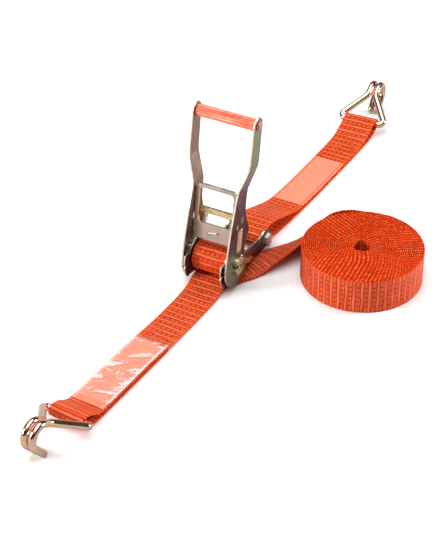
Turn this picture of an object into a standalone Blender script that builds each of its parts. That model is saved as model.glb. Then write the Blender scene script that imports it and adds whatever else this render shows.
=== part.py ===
"""Ratchet tie down: a 50 mm lashing strap in two parts, joined by a long-handled ratchet buckle.

Every size below is in millimetres; MM turns it into metres. The buckle's spindle lies
along Y. The short fixed strap leaves towards +X, the long strap towards -X, and the rest of the
long strap is wound into a coil that stands on its edge on the -Y side.
"""
import math

import bmesh
import bpy
import numpy as np
from mathutils import Matrix, Vector

MM = 0.001
GAP = 0.3                      # clearance between pieces that touch in the real object

# Webbing
WEB_WIDTH = 50.0
WEB_THICKNESS = 2.4
FLOOR_LAYER = 1.5              # height of a webbing layer's middle when it lies on the floor

# Ratchet buckle
SPINDLE_HEIGHT = 34.75
SHEET = 2.5                    # thickness of the pressed steel plates
FRAME_INNER = 26.0             # half the gap between the two frame plates
WHEEL_INNER = FRAME_INNER + SHEET + GAP
WHEEL_OUTER = WHEEL_INNER + SHEET
HANDLE_INNER = WHEEL_OUTER + GAP
HANDLE_OUTER = HANDLE_INNER + SHEET

SHAFT_RADIUS = 12.5
SHAFT_GAP = 4.4                # slot between the two half shafts, for the webbing
SHAFT_END = 39.0
SHAFT_HOLE = SHAFT_RADIUS + 0.4
SLOT_ANGLE = -14.0             # direction of the spindle's slot, from +X towards +Z
ROLL_RADIUS = 21.0
PIN_Y = 36.9
PIN_RADIUS = 1.25

TEETH = 24
TOOTH_PITCH = 360.0 / TEETH
TOOTH_TIP = 30.0
TOOTH_ROOT = 25.5
NOSE_WIDTH = 2.2               # width of a pawl's nose in a tooth gap
NOSE_START = 26.0              # radius of the nose's tip when it is engaged
NOSE_TO_FLANK = 2.75           # degrees from the middle of the nose to the tooth's steep flank

BOLT_X = 95.0
BOLT_Z = 17.2
BOLT_RADIUS = 4.0
BOLT_END_RADIUS = 14.2
SPACER_RADIUS = 7.0
FRAME_DISC = 25.5
FRAME_LOBE = 36.5

HANDLE_ANGLE = 80.4            # handle's direction at rest, from +X towards +Z
HANDLE_DISC = 32.0
GRIP_DISTANCE = 204.0
SPLAY_START = 102.0
SPLAY_END = 152.0
SPLAY = 11.9                   # how far each handle plate moves outwards between those two
LOCK_ANGLE = HANDLE_ANGLE - 7 * TOOTH_PITCH

# Hooks
ROD_RADIUS = 5.0
HOOK_HALF_WIDTH = 33.2
HOOK_LEG = 61.0
HOOK_GAP = 5.7                 # half the distance between the two rods of the double hook
HOOK_BEND = 16.0
HOOK_TURN = 158.0
HOOK_TIP = 24.0                # straight end after the bend
HOOK_PITCH = 29.2
HOOK_LIFT = 16.53
LOOP_RADIUS = ROD_RADIUS + 0.8 + WEB_THICKNESS / 2
FRONT_HOOK = (-350.0, 10.5, HOOK_LIFT)
REAR_HOOK = (452.3, -13.4, HOOK_LIFT)
FRONT_YAW = 180.0 - 4.0        # direction in which the hook points, from +X towards +Y
REAR_YAW = 3.5

# Coil of spare webbing
COIL_CENTRE = (100.0, -172.0)
COIL_RADIUS = 82.0
TAIL_MEETS_COIL = 20.0         # degrees round the coil, from +X towards +Y

STEEL = {"yellow_zinc": (0.62, 0.53, 0.36, 1.0), "grey_zinc": (0.42, 0.38, 0.36, 1.0)}


# ---------------------------------------------------------------- tools

def material(name, colour, roughness, metallic=0.0, alpha=1.0):
    found = bpy.data.materials.get(name)
    if found:
        return found
    made = bpy.data.materials.new(name)
    made.use_nodes = True
    shader = made.node_tree.nodes["Principled BSDF"]
    shader.inputs["Base Color"].default_value = colour
    shader.inputs["Roughness"].default_value = roughness
    shader.inputs["Metallic"].default_value = metallic
    shader.inputs["Alpha"].default_value = alpha
    made.diffuse_color = colour
    return made


def zinc(kind="yellow_zinc"):
    return material(kind, STEEL[kind], 0.32, 1.0)


def webbing():
    return material("webbing", (0.80, 0.07, 0.01, 1.0), 0.65)


def empty(name, location=(0, 0, 0), rotation=(0, 0, 0), parent=None):
    made = bpy.data.objects.new(name, None)
    bpy.context.collection.objects.link(made)
    made.location = Vector(location) * MM
    made.rotation_euler = [math.radians(a) for a in rotation]
    made.parent = parent
    return made


def finish(name, bm, mat, parent, smooth_angle=None):
    """Turn a bmesh in millimetres into a named object in metres."""
    bmesh.ops.scale(bm, vec=(MM, MM, MM), verts=bm.verts)
    bmesh.ops.recalc_face_normals(bm, faces=bm.faces)
    mesh = bpy.data.meshes.new(name)
    bm.to_mesh(mesh)
    bm.free()
    if smooth_angle:
        mesh.shade_smooth()
        mesh.set_sharp_from_angle(angle=math.radians(smooth_angle))
    mesh.materials.append(mat)
    made = bpy.data.objects.new(name, mesh)
    bpy.context.collection.objects.link(made)
    made.parent = parent
    return made


def polar(radius, degrees, centre=(0.0, 0.0)):
    a = math.radians(degrees)
    return (centre[0] + radius * math.cos(a), centre[1] + radius * math.sin(a))


def arc(radius, start, end, step=7.5, centre=(0.0, 0.0)):
    count = max(2, round(abs(end - start) / step))
    return [polar(radius, start + (end - start) * i / count, centre) for i in range(count + 1)]


def circle(radius, count=32, centre=(0.0, 0.0)):
    return [polar(radius, 360.0 * i / count, centre) for i in range(count)]


def slot(x_low, x_high, z_low, z_high):
    return [(x_low, z_low), (x_high, z_low), (x_high, z_high), (x_low, z_high)]


def rounded(x_low, x_high, z_low, z_high, radius, step=22.5):
    corners = [(x_high - radius, z_high - radius, 0), (x_low + radius, z_high - radius, 90),
               (x_low + radius, z_low + radius, 180), (x_high - radius, z_low + radius, 270)]
    return [p for x, z, a in corners for p in arc(radius, a, a + 90, step, (x, z))]


def turned(points, degrees):
    """Turn points about the spindle, so that their +Z points in the given direction."""
    c, s = math.cos(math.radians(degrees - 90)), math.sin(math.radians(degrees - 90))
    return [(x * c - z * s, x * s + z * c) for x, z in points]


def curve_through(points, steps, closed=False):
    """A smooth Catmull-Rom curve through the given points, of any number of values each."""
    pts = np.array(points, dtype=float)
    if closed:
        pts = np.vstack([pts[-1], pts, pts[:2]])
    else:
        pts = np.vstack([2 * pts[0] - pts[1], pts, 2 * pts[-1] - pts[-2]])
    out = []
    for i in range(1, len(pts) - 2):
        a, b, c, d = pts[i - 1:i + 3]
        for k in range(steps):
            t = k / steps
            out.append(0.5 * (2 * b + (c - a) * t + (2 * a - 5 * b + 4 * c - d) * t * t
                              + (3 * b - a - 3 * c + d) * t ** 3))
    if not closed:
        out.append(pts[-2])
    return out


def filled(loops, y):
    """A bmesh with one flat face region in the X-Z plane; the loops after the first are holes."""
    bm = bmesh.new()
    edges = []
    for loop in loops:
        verts = [bm.verts.new((x, y, z)) for x, z in loop]
        edges += [bm.edges.new((a, b)) for a, b in zip(verts, verts[1:] + verts[:1])]
    bmesh.ops.triangle_fill(bm, use_beauty=True, edges=edges)
    return bm


def thicken(bm, depth):
    grown = bmesh.ops.extrude_face_region(bm, geom=bm.faces[:])
    verts = [v for v in grown["geom"] if isinstance(v, bmesh.types.BMVert)]
    bmesh.ops.translate(bm, vec=(0, depth, 0), verts=verts)


def plate(name, loops, y_low, y_high, mat, parent, smooth_angle=30):
    bm = filled(loops, y_low)
    thicken(bm, y_high - y_low)
    return finish(name, bm, mat, parent, smooth_angle)


def box_mesh(x, y, z):
    bm = bmesh.new()
    bmesh.ops.create_cube(bm, size=1.0)
    size = [r[1] - r[0] for r in (x, y, z)]
    middle = [(r[1] + r[0]) / 2 for r in (x, y, z)]
    bmesh.ops.scale(bm, vec=size, verts=bm.verts)
    bmesh.ops.translate(bm, vec=middle, verts=bm.verts)
    return bm


def joined(target, others, operation="UNION"):
    """Join other objects to the target, or cut them from it, and remove them."""
    for other in others:
        modifier = target.modifiers.new(operation.lower(), "BOOLEAN")
        modifier.operation = operation
        modifier.solver = "EXACT"
        modifier.object = other
    bpy.context.view_layer.update()
    evaluated = target.evaluated_get(bpy.context.evaluated_depsgraph_get())
    result = bpy.data.meshes.new_from_object(evaluated)
    target.modifiers.clear()
    target.data = result
    for other in others:
        bpy.data.objects.remove(other, do_unlink=True)
    return target


def sweep(name, sections, mat, parent, closed=False, smooth_angle=40):
    """Skin a row of sections, each a ring of points of the same count."""
    bm = bmesh.new()
    rings = [[bm.verts.new(p) for p in section] for section in sections]
    pairs = list(zip(rings, rings[1:] + rings[:1])) if closed else list(zip(rings, rings[1:]))
    for a, b in pairs:
        n = len(a)
        for i in range(n):
            bm.faces.new((a[i], a[(i + 1) % n], b[(i + 1) % n], b[i]))
    if not closed:
        bm.faces.new(rings[0][::-1])
        bm.faces.new(rings[-1])
    return finish(name, bm, mat, parent, smooth_angle)


def turned_rod(name, profile, mat, parent, sides=24):
    """A piece turned about Y: profile is a row of (radius, y), closed on itself."""
    bm = bmesh.new()
    rings = []
    for i in range(sides):
        c, s = polar(1.0, 360.0 * i / sides)
        rings.append([bm.verts.new((r * c, y, r * s)) for r, y in profile])
    n = len(profile)
    for a, b in zip(rings, rings[1:] + rings[:1]):
        for i in range(n):
            bm.faces.new((a[i], a[(i + 1) % n], b[(i + 1) % n], b[i]))
    bmesh.ops.remove_doubles(bm, verts=bm.verts, dist=0.001)
    bmesh.ops.dissolve_degenerate(bm, edges=bm.edges, dist=0.001)
    return finish(name, bm, mat, parent, 40)


# ---------------------------------------------------------------- frame

def frame_outline():
    end = (BOLT_X, BOLT_Z - SPINDLE_HEIGHT)
    return (arc(FRAME_DISC, -2, 148)
            + arc(FRAME_LOBE, 158, 180)
            + [polar(31.0, 184)]
            + arc(FRAME_LOBE, 188, 218)
            + arc(FRAME_DISC, 234, 282)
            + [(26.0, -28.4), (60.0, -29.6)]
            + arc(BOLT_END_RADIUS, -92, 125, 10, end)
            + [(76.0, -7.2), (27.0, -1.6)])


def frame_holes():
    pawl_slot = turned(slot(-4.0, 4.0, 30.8, 57.4), LOCK_ANGLE)
    tab_slot = turned(slot(-2.3, 2.3, 61.7, 65.3), LOCK_ANGLE)
    bolt_hole = circle(BOLT_RADIUS + GAP, 20, (BOLT_X, BOLT_Z - SPINDLE_HEIGHT))
    return [circle(SHAFT_HOLE), bolt_hole, pawl_slot, tab_slot]


def make_frame(spindle_line):
    loops = [frame_outline()] + frame_holes()
    inner, outer = FRAME_INNER, FRAME_INNER + SHEET
    plate("frame_plate_left", loops, inner, outer, zinc("grey_zinc"), spindle_line)
    plate("frame_plate_right", loops, -outer, -inner, zinc("grey_zinc"), spindle_line)


def make_bolt(assembly):
    axis = empty("bolt_axis", (BOLT_X, 0, BOLT_Z), parent=assembly)
    face = FRAME_INNER + SHEET + GAP
    head = 6.0
    shank = turned_rod("frame_bolt", [(0, -face - head + 1.0), (BOLT_RADIUS, -face - head + 1.0),
                                      (BOLT_RADIUS, face + 4.6), (0, face + 4.6)], zinc(), axis)
    corner = turned([(9.8, 0.0)], 90 + 12)[0]
    start = math.degrees(math.atan2(corner[1], corner[0]))
    hexagon_head = [polar(9.8, start + 60 * i) for i in range(6)]
    head_plate = plate("bolt_head", [hexagon_head], -face - head, -face, zinc(), axis)
    joined(shank, [head_plate])
    hexagon = circle(7.5, 6)
    plate("frame_bolt_nut", [hexagon, circle(BOLT_RADIUS + GAP, 20)], face, face + 3.8, zinc(), axis)
    plate("bolt_spacer", [circle(SPACER_RADIUS, 24), circle(BOLT_RADIUS + GAP, 20)],
          -FRAME_INNER + GAP, FRAME_INNER - GAP, zinc(), axis, 40)


def make_bridge(lock_line):
    """Cross plate that the lock pawl's springs push against, with a tab into each frame plate."""
    inside = FRAME_INNER - GAP
    bridge = finish("frame_bridge", box_mesh((-5.0, 2.4), (-inside, inside), (62, 65)), zinc(), lock_line)
    tab_end = FRAME_INNER + SHEET - 0.2
    tab = finish("bridge_tab", box_mesh((-2.0, 2.0), (-tab_end, tab_end), (62, 65)), zinc(), lock_line)
    joined(bridge, [tab])


def make_lock_pawl(lock_line):
    """Blade between the frame plates, with a nose in a tooth gap of each wheel."""
    through = FRAME_INNER - 1.0
    blade = finish("lock_pawl", box_mesh((-1.5, 1.5), (-WHEEL_OUTER, WHEEL_OUTER), (33, 52)),
                   zinc(), lock_line)
    parts = []
    for side in (-1, 1):
        y = sorted((side * through, side * WHEEL_OUTER))
        nose_y = sorted((side * WHEEL_INNER, side * WHEEL_OUTER))
        half = NOSE_WIDTH / 2
        parts.append(finish("wing", box_mesh((-3.7, 3.7), y, (31.2, 51.9)), zinc(), lock_line))
        parts.append(finish("nose", box_mesh((-half, half), nose_y, (NOSE_START, 40)), zinc(), lock_line))
    joined(blade, parts)


def make_springs(name, parent, x, low, high, radius=3.3):
    """Two short coil springs as plain sleeves, at the length they have when fully pressed."""
    for label, y in (("left", 19.5), ("right", -19.5)):
        bm = filled([circle(radius, 16), circle(radius - 1.2, 12)], 0)
        thicken(bm, high - low)
        bmesh.ops.rotate(bm, cent=(0, 0, 0), matrix=Matrix.Rotation(math.radians(90), 3, "X"), verts=bm.verts)
        bmesh.ops.translate(bm, vec=(x, y, low), verts=bm.verts)
        finish(f"{name}_{label}", bm, zinc("grey_zinc"), parent, 40)


# ---------------------------------------------------------------- spindle

def half_moon(radius, flat, side):
    """Outline of a round bar with a flat along local X, on the +Z side or the -Z side."""
    start = math.degrees(math.asin(flat / radius))
    return [(x, side * z) for x, z in arc(radius, start, 180 - start, 9)]


def wheel_outline(first_flank):
    points = []
    for i in range(TEETH):
        a = first_flank + i * TOOTH_PITCH
        points += [polar(TOOTH_ROOT, a), polar(TOOTH_TIP, a), polar(TOOTH_TIP, a + 3.2),
                   polar((TOOTH_TIP + TOOTH_ROOT) / 2 - 0.2, a + 6.2), polar(TOOTH_ROOT, a + 9.4)]
    return points


def make_spindle(spindle_axis):
    """The axis' own +X lies along the slot between the half shafts."""
    flat = SHAFT_GAP / 2
    holes = [half_moon(SHAFT_HOLE, flat - 0.35, 1), half_moon(SHAFT_HOLE, flat - 0.35, -1)]
    first_flank = HANDLE_ANGLE + NOSE_TO_FLANK - SLOT_ANGLE
    for label, side in (("left", 1), ("right", -1)):
        y = sorted((side * WHEEL_INNER, side * WHEEL_OUTER))
        plate(f"ratchet_wheel_{label}", [wheel_outline(first_flank)] + holes, *y, zinc("grey_zinc"),
              spindle_axis, 20)
    for label, side in (("upper", 1), ("lower", -1)):
        shaft = plate(f"spindle_half_{label}", [half_moon(SHAFT_RADIUS, flat, side)],
                      -SHAFT_END, SHAFT_END, zinc(), spindle_axis, 40)
        cutters = []
        for y in (-PIN_Y, PIN_Y):
            bm = bmesh.new()
            bmesh.ops.create_cone(bm, cap_ends=True, segments=12, radius1=PIN_RADIUS + GAP,
                                  radius2=PIN_RADIUS + GAP, depth=2.6 * SHAFT_RADIUS)
            bmesh.ops.translate(bm, vec=(0, y, 0), verts=bm.verts)
            cutters.append(finish("pin_hole", bm, zinc(), spindle_axis))
        joined(shaft, cutters, "DIFFERENCE")
    make_split_pins(spindle_axis)
    make_wound_webbing(spindle_axis)


def make_split_pins(spindle_axis):
    """A pin across both half shafts outside each handle plate, with a bead at each end."""
    for label, side in (("left", 1), ("right", -1)):
        profile = [(0, -15.6), (1.7, -15.2), (1.9, -14.0), (PIN_RADIUS, -13.4), (PIN_RADIUS, 13.4),
                   (2.1, 13.9), (2.3, 15.2), (1.6, 16.6), (0, 17.0)]
        pin = turned_rod(f"split_pin_{label}", profile, zinc("grey_zinc"), spindle_axis, 12)
        pin.rotation_euler = (math.radians(90), 0, 0)
        pin.location = (0, side * PIN_Y * MM, 0)


def make_wound_webbing(spindle_axis):
    flat = SHAFT_GAP / 2
    web_flat = WEB_THICKNESS / 2
    holes = [half_moon(SHAFT_HOLE, min(flat, web_flat + GAP) - 0.2, side) for side in (1, -1)]
    half = WEB_WIDTH / 2
    plate("wound_webbing", [circle(ROLL_RADIUS, 48)] + holes, -half, half, webbing(), spindle_axis, 40)


# ---------------------------------------------------------------- handle

def handle_outline():
    """Side view of a handle plate: X is towards the back, Z along the handle."""
    back = [(28.3, -15.0), (24.5, -1.0), (19.6, 10.0), (17.6, 19.5), (20.2, 29.0), (24.6, 37.0),
            (26.0, 44.0), (22.8, 53.0), (16.4, 63.5), (11.4, 76.0), (9.9, 90.0), (10.9, 112.0),
            (11.6, 150.0), (11.3, 180.0), (11.3, GRIP_DISTANCE)]
    front = [(-11.3, GRIP_DISTANCE), (-11.3, 180.0), (-12.2, 150.0), (-16.0, 115.0),
             (-20.6, 88.0), (-26.4, 60.0), (-30.6, 28.0), (-32.0, 0.0)]
    return (arc(HANDLE_DISC, 180, 332)[:-1]
            + [tuple(p) for p in curve_through(back, 2)]
            + arc(11.3, 0, 180, 15, (0, GRIP_DISTANCE))[1:-1]
            + [tuple(p) for p in curve_through(front, 2)][:-1])


def make_handle_plate(name, side, handle_line):
    """A plate that runs straight up from the spindle, splays outwards and runs straight again."""
    holes = [circle(SHAFT_HOLE), rounded(-6.7, 6.7, 18.0, 53.0, 2.0, 30),
             slot(-11.2, -8.2, 55.0, 62.5),
             slot(-0.9, 3.9, 61.6, 70.4), circle(4.0, 20, (0, GRIP_DISTANCE))]
    bm = filled([handle_outline()] + holes, 0)
    for z in (SPLAY_START, SPLAY_START + 8, SPLAY_END - 8, SPLAY_END):
        bmesh.ops.bisect_plane(bm, geom=bm.verts[:] + bm.edges[:] + bm.faces[:],
                               plane_co=(0, 0, z), plane_no=(0, 0, 1))
    bends = (SPLAY_START, SPLAY_START + 8, SPLAY_END - 8, SPLAY_END)
    shifts = (0, 0.06 * SPLAY, 0.94 * SPLAY, SPLAY)
    for v in bm.verts:
        v.co.y = HANDLE_INNER + float(np.interp(v.co.z, bends, shifts))
    thicken(bm, SHEET)
    if side < 0:
        bmesh.ops.scale(bm, vec=(1, -1, 1), verts=bm.verts)
    finish(name, bm, zinc("grey_zinc"), handle_line, 25)


def make_crossbar(handle_line):
    """Flat bar between the handle plates, with a narrower tab through each of them."""
    inside = HANDLE_INNER - GAP
    bar = finish("handle_crossbar", box_mesh((-0.6, 3.6), (-inside, inside), (61.9, 70.1)),
                 zinc(), handle_line)
    tab_end = HANDLE_OUTER + 1.2
    tab = finish("crossbar_tab", box_mesh((-0.6, 3.6), (-tab_end, tab_end), (61.9, 70.1)),
                 zinc(), handle_line)
    joined(bar, [tab])


def make_drive_pawl(handle_line):
    """Pressed release plate with a finger window, folded back into the blade that drives the wheels."""
    front, back = -11.5, -9.0
    wide, narrow = 30.6, 25.6
    top, bottom, step = 106.8, 29.0, 37.4
    outline = [(-narrow, bottom), (narrow, bottom), (narrow, step), (wide, step), (wide, top - 6)]
    outline += arc(6, 0, 90, 30, (wide - 6, top - 6))[1:]
    outline += arc(6, 90, 180, 30, (6 - wide, top - 6))
    outline += [(-wide, step), (-narrow, step)]
    window = rounded(-25.6, 25.6, 51.5, 102.6, 5.0, 30)
    spring_slot = [(-8.5, 40.2), (8.5, 37.4), (8.5, 40.2), (-8.5, 43.0)]
    bm = filled([outline, window, spring_slot], 0)
    thicken(bm, back - front)
    bmesh.ops.rotate(bm, cent=(0, 0, 0), matrix=Matrix.Rotation(math.radians(90), 3, "Z"), verts=bm.verts)
    bmesh.ops.translate(bm, vec=(back, 0, 0), verts=bm.verts)
    pawl = finish("drive_pawl", bm, zinc(), handle_line, 30)
    blade_edge = FRAME_INNER + SHEET + GAP
    pieces = [((-1.25, 1.25), (-WHEEL_OUTER - 0.5, WHEEL_OUTER + 0.5), (37.4, 47.0)),
              ((back - 1.0, 1.25), (-28.0, 28.0), (45.0, 47.5)),
              ((back - 1.0, -4.5), (-24.0, 24.0), (104.0, top - 0.1))]
    for side in (-1, 1):
        flange = sorted((side * 28.1, side * (wide - 0.1)))
        nose = sorted((side * blade_edge, side * WHEEL_OUTER))
        wing = sorted((side * (WHEEL_OUTER - 1.0), side * (HANDLE_OUTER + 0.4)))
        pieces.append(((back - 1.0, -3.5), flange, (51.0, top - 7)))
        pieces.append(((-NOSE_WIDTH / 2, NOSE_WIDTH / 2), nose, (NOSE_START, 45.0)))
        pieces.append(((-4.0, 4.0), nose, (31.2, 46.8)))
        pieces.append(((-6.3, 6.3), wing, (31.4, 46.9)))
        pieces.append(((-6.3, 6.3), sorted((side * (HANDLE_INNER), side * (HANDLE_OUTER + 0.4))),
                       (20.0, 46.9)))
    extra = [finish("pawl_piece", box_mesh(*piece), zinc(), handle_line) for piece in pieces]
    joined(pawl, extra)


def make_grip(handle_line):
    grip_axis = empty("grip_axis", (0, 0, GRIP_DISTANCE), parent=handle_line)
    inner = HANDLE_INNER + SPLAY
    outer = inner + SHEET
    red = material("red_plastic", (0.85, 0.10, 0.03, 1.0), 0.45)
    rod, head = 3.6, 5.0
    turned_rod("grip_rod", [(0, -outer - 3.4), (head, -outer - 3.0), (head, -outer - 2.0), (rod, -outer - 2.0),
                            (rod, outer + 2.0), (head, outer + 2.0), (head, outer + 3.0),
                            (0, outer + 3.4)], zinc(), grip_axis)
    ribs = 22
    ribbed = []
    for i in range(ribs):
        a = 360.0 * i / ribs
        ribbed += [polar(7.5, a), polar(8.2, a + 4.5), polar(8.2, a + 11.0)]
    plate("grip_sleeve", [ribbed, circle(rod + GAP, 20)], -inner + GAP, inner - GAP, red, grip_axis, 30)
    for label, side in (("left", 1), ("right", -1)):
        y = sorted((side * (outer + GAP), side * (outer + 1.7)))
        plate(f"grip_ring_{label}", [circle(6.4, 24), circle(rod + GAP, 20)], *y, red, grip_axis, 40)


# ---------------------------------------------------------------- straps

def strap_sections(stations, width=WEB_WIDTH, thickness=WEB_THICKNESS, lift=0.0):
    """Stations are (x, y, z, yaw): a point on the strap's middle and the turn of its cross line."""
    sections = []
    points = [Vector(s[:3]) for s in stations]
    for i, station in enumerate(stations):
        before = points[max(i - 1, 0)]
        after = points[min(i + 1, len(points) - 1)]
        along = (after - before).normalized()
        yaw = math.radians(station[3])
        across = Vector((-math.sin(yaw), math.cos(yaw), 0))
        normal = along.cross(across).normalized() * -1
        middle = points[i] + normal * lift
        w, t = across * width / 2, normal * thickness / 2
        sections.append([middle - w - t, middle + w - t, middle + w + t, middle - w + t])
    return sections


def loop_stations(centre, radius, yaw, start, end, count):
    """Stations round a cross bar; the angles run in the plane that the strap's length lies in."""
    out = []
    for i in range(count + 1):
        u, w = polar(radius, start + (end - start) * i / count)
        a = math.radians(yaw)
        out.append((centre[0] + u * math.cos(a), centre[1] + u * math.sin(a), centre[2] + w, yaw))
    return out


FRONT_STRAP_YAW = FRONT_YAW - 180.0
FRONT_TOP = [(8.0, 0.0, 12.3, 0.0), (-6.0, -0.2, 11.5, 0.0), (-18.0, -0.5, 8.3, 0.0),
             (-30.0, -0.9, 4.9, -0.3), (-44.0, -1.2, 2.6, -0.6), (-62.0, -1.3, 1.7, -1.0),
             (-90.0, -0.8, 1.6, -1.5), (-120.0, 0.0, 2.2, -2.0), (-150.0, 1.0, 4.0, -2.5),
             (-175.0, 2.1, 6.0, -2.7), (-200.0, 3.4, 6.6, -2.9), (-260.0, 6.3, 6.6, -3.2),
             (-308.0, 8.6, 7.2, -3.6), (-324.0, 9.3, 11.6, FRONT_STRAP_YAW), (-338.0, 9.9, 20.6, FRONT_STRAP_YAW)]
FRONT_UNDER = [(-340.0, 9.9, 5.6, FRONT_STRAP_YAW), (-326.0, 9.4, 2.2, FRONT_STRAP_YAW),
               (-308.0, 8.6, FLOOR_LAYER, -3.6), (-260.0, 6.3, FLOOR_LAYER, -3.2),
               (-200.0, 3.4, FLOOR_LAYER, -2.9), (-166.0, 1.7, FLOOR_LAYER, -2.6)]
FIXED_TOP = [(112.0, -0.4, 27.2, -0.5), (134.0, -1.8, 25.6, -1.0), (162.0, -4.2, 17.4, -1.5),
             (188.0, -5.9, 9.6, -1.5), (210.0, -7.0, 6.4, -1.5), (260.0, -9.4, 5.2, -1.5),
             (340.0, -11.8, 5.2, -0.5), (392.0, -12.9, 5.8, 1.5), (414.0, -13.2, 9.4, 2.5),
             (432.0, -13.4, 17.0, REAR_YAW), (442.0, -13.6, 22.4, REAR_YAW)]
FIXED_UNDER = [(442.0, -13.8, 6.4, REAR_YAW), (426.0, -13.4, 2.9, REAR_YAW),
               (408.0, -13.0, FLOOR_LAYER, 2.0), (340.0, -11.8, FLOOR_LAYER, -0.5),
               (260.0, -9.4, FLOOR_LAYER, -1.5), (188.0, -5.9, FLOOR_LAYER, -1.5),
               (140.0, -2.2, 1.7, -1.0), (114.0, -0.4, 4.4, -0.5)]


def make_straps(assembly):
    front_loop = loop_stations(FRONT_HOOK, LOOP_RADIUS, FRONT_STRAP_YAW, 90, 270, 8)
    front = curve_through(FRONT_TOP + front_loop + FRONT_UNDER, 3)
    sweep("front_strap", strap_sections(front), webbing(), assembly)
    bolt = (BOLT_X, 0.0, BOLT_Z)
    bolt_loop = loop_stations(bolt, SPACER_RADIUS + GAP + WEB_THICKNESS / 2, 0.0, 270, 90, 8)
    rear_loop = loop_stations(REAR_HOOK, LOOP_RADIUS, REAR_YAW, 90, -90, 8)
    band = curve_through(bolt_loop + FIXED_TOP + rear_loop + FIXED_UNDER, 3, closed=True)
    count = len(band)
    sections = strap_sections([band[-1]] + band + [band[0]])[1:count + 1]
    sweep("fixed_strap", sections, webbing(), assembly, closed=True)


def clipped(stations, x_low, x_high):
    return [s for s in curve_through(stations, 8) if x_low <= s[0] <= x_high]


def make_labels(assembly):
    """Sewn labels lie on the top layer of webbing; the front one is under a clear film."""
    paper = material("label", (0.95, 0.38, 0.25, 1.0), 0.5)
    film = material("film", (0.98, 0.80, 0.75, 0.5), 0.15, alpha=0.5)
    surface = WEB_THICKNESS / 2 + GAP
    front = clipped(FRONT_TOP, -313.0, -168.0)
    sweep("front_label", strap_sections(front, 47.0, 0.6, surface + 0.3), paper, assembly)
    cover = clipped(FRONT_TOP, -316.0, -163.0)
    sweep("front_label_film", strap_sections(cover, 49.0, 0.4, surface + 1.1), film, assembly)
    rear = clipped(FIXED_TOP, 206.0, 340.0)
    sweep("rear_label", strap_sections(rear, 48.0, 0.6, -surface - 0.3), paper, assembly)


def make_tail(assembly):
    """Loose webbing from under the buckle to the coil; it turns onto its edge on the way."""
    end = polar(COIL_RADIUS + GAP + WEB_THICKNESS / 2, TAIL_MEETS_COIL, COIL_CENTRE)
    route = [(-3.0, -2.6, 0), (14.0, -12.5, 0), (32.0, -23.5, 0), (47.0, -32.6, 3), (62.7, -41.6, 12),
             (82.5, -53.4, 21), (107.0, -67.5, 34), (131.5, -77.2, 50), (151.0, -92.0, 70),
             (164.0, -107.5, 84), (173.0, -125.0, 90), (end[0], end[1], 90)]
    stations = curve_through(route, 3)
    sections = []
    for i, (x, y, roll) in enumerate(stations):
        before, after = stations[max(i - 1, 0)], stations[min(i + 1, len(stations) - 1)]
        along = Vector((after[0] - before[0], after[1] - before[1], 0)).normalized()
        a = math.radians(roll)
        right = Vector((along.y, -along.x, 0))
        across = right * math.cos(a) + Vector((0, 0, math.sin(a)))
        normal = right * -math.sin(a) + Vector((0, 0, math.cos(a)))
        rise = WEB_WIDTH / 2 * math.sin(a) + WEB_THICKNESS / 2 * math.cos(a) + 0.1
        middle = Vector((x, y, rise))
        w, t = across * WEB_WIDTH / 2, normal * WEB_THICKNESS / 2
        sections.append([middle - w - t, middle + w - t, middle + w + t, middle - w + t])
    sweep("tail_strap", sections, webbing(), assembly)


def make_coil(assembly):
    """Outer shape of the coil; its middle is an oblong hole, left by the first folded turn."""
    bm = filled([circle(COIL_RADIUS, 72), rounded(-12, 12, -10, 10, 9.5, 22.5)], 0)
    thicken(bm, WEB_WIDTH)
    bmesh.ops.rotate(bm, cent=(0, 0, 0), matrix=Matrix.Rotation(math.radians(90), 3, "X"), verts=bm.verts)
    bmesh.ops.rotate(bm, cent=(0, 0, 0), matrix=Matrix.Rotation(math.radians(28), 3, "Z"), verts=bm.verts)
    low = min(v.co.z for v in bm.verts)
    bmesh.ops.translate(bm, vec=(COIL_CENTRE[0], COIL_CENTRE[1], -low), verts=bm.verts)
    finish("webbing_coil", bm, webbing(), assembly, 40)


# ---------------------------------------------------------------- hooks

def filleted(points, radii, steps):
    """Round the inner corners of a 3-D polyline with arcs of the given radii."""
    pts = [Vector(p) for p in points]
    out = [pts[0]]
    for i in range(1, len(pts) - 1):
        back = (pts[i - 1] - pts[i]).normalized()
        ahead = (pts[i + 1] - pts[i]).normalized()
        half = back.angle(ahead) / 2
        reach = radii[i - 1] / math.tan(half)
        centre = pts[i] + (back + ahead).normalized() * radii[i - 1] / math.sin(half)
        first = pts[i] + back * reach - centre
        last = pts[i] + ahead * reach - centre
        turn = first.angle(last)
        for k in range(steps + 1):
            t = k / steps
            spoke = (first * math.sin((1 - t) * turn) + last * math.sin(t * turn)) / math.sin(turn)
            out.append(centre + spoke)
    out.append(pts[-1])
    return out


def hook_path():
    """Middle line of the bent rod, from one tip round the cross bar to the other tip."""
    j_bend = []
    for i in range(1, 15):
        a = math.radians(HOOK_TURN * i / 14)
        j_bend.append(Vector((HOOK_LEG + HOOK_BEND * math.sin(a), HOOK_GAP, HOOK_BEND * (math.cos(a) - 1))))
    ahead = Vector((math.cos(a), 0, -math.sin(a)))
    j_bend += [j_bend[-1] + ahead * HOOK_TIP * 0.5, j_bend[-1] + ahead * HOOK_TIP]
    corners = [(HOOK_LEG, HOOK_GAP, 0), (HOOK_LEG - 12, HOOK_GAP, 0), (8, HOOK_HALF_WIDTH, 0),
               (0, HOOK_HALF_WIDTH, 0), (0, 0, 0)]
    leg = filleted(corners, (18.0, 5.0, 6.0), 4)
    half = j_bend[::-1] + leg[:-1]
    mirrored = [Vector((p.x, -p.y, p.z)) for p in half[::-1]]
    return half + mirrored


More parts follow.
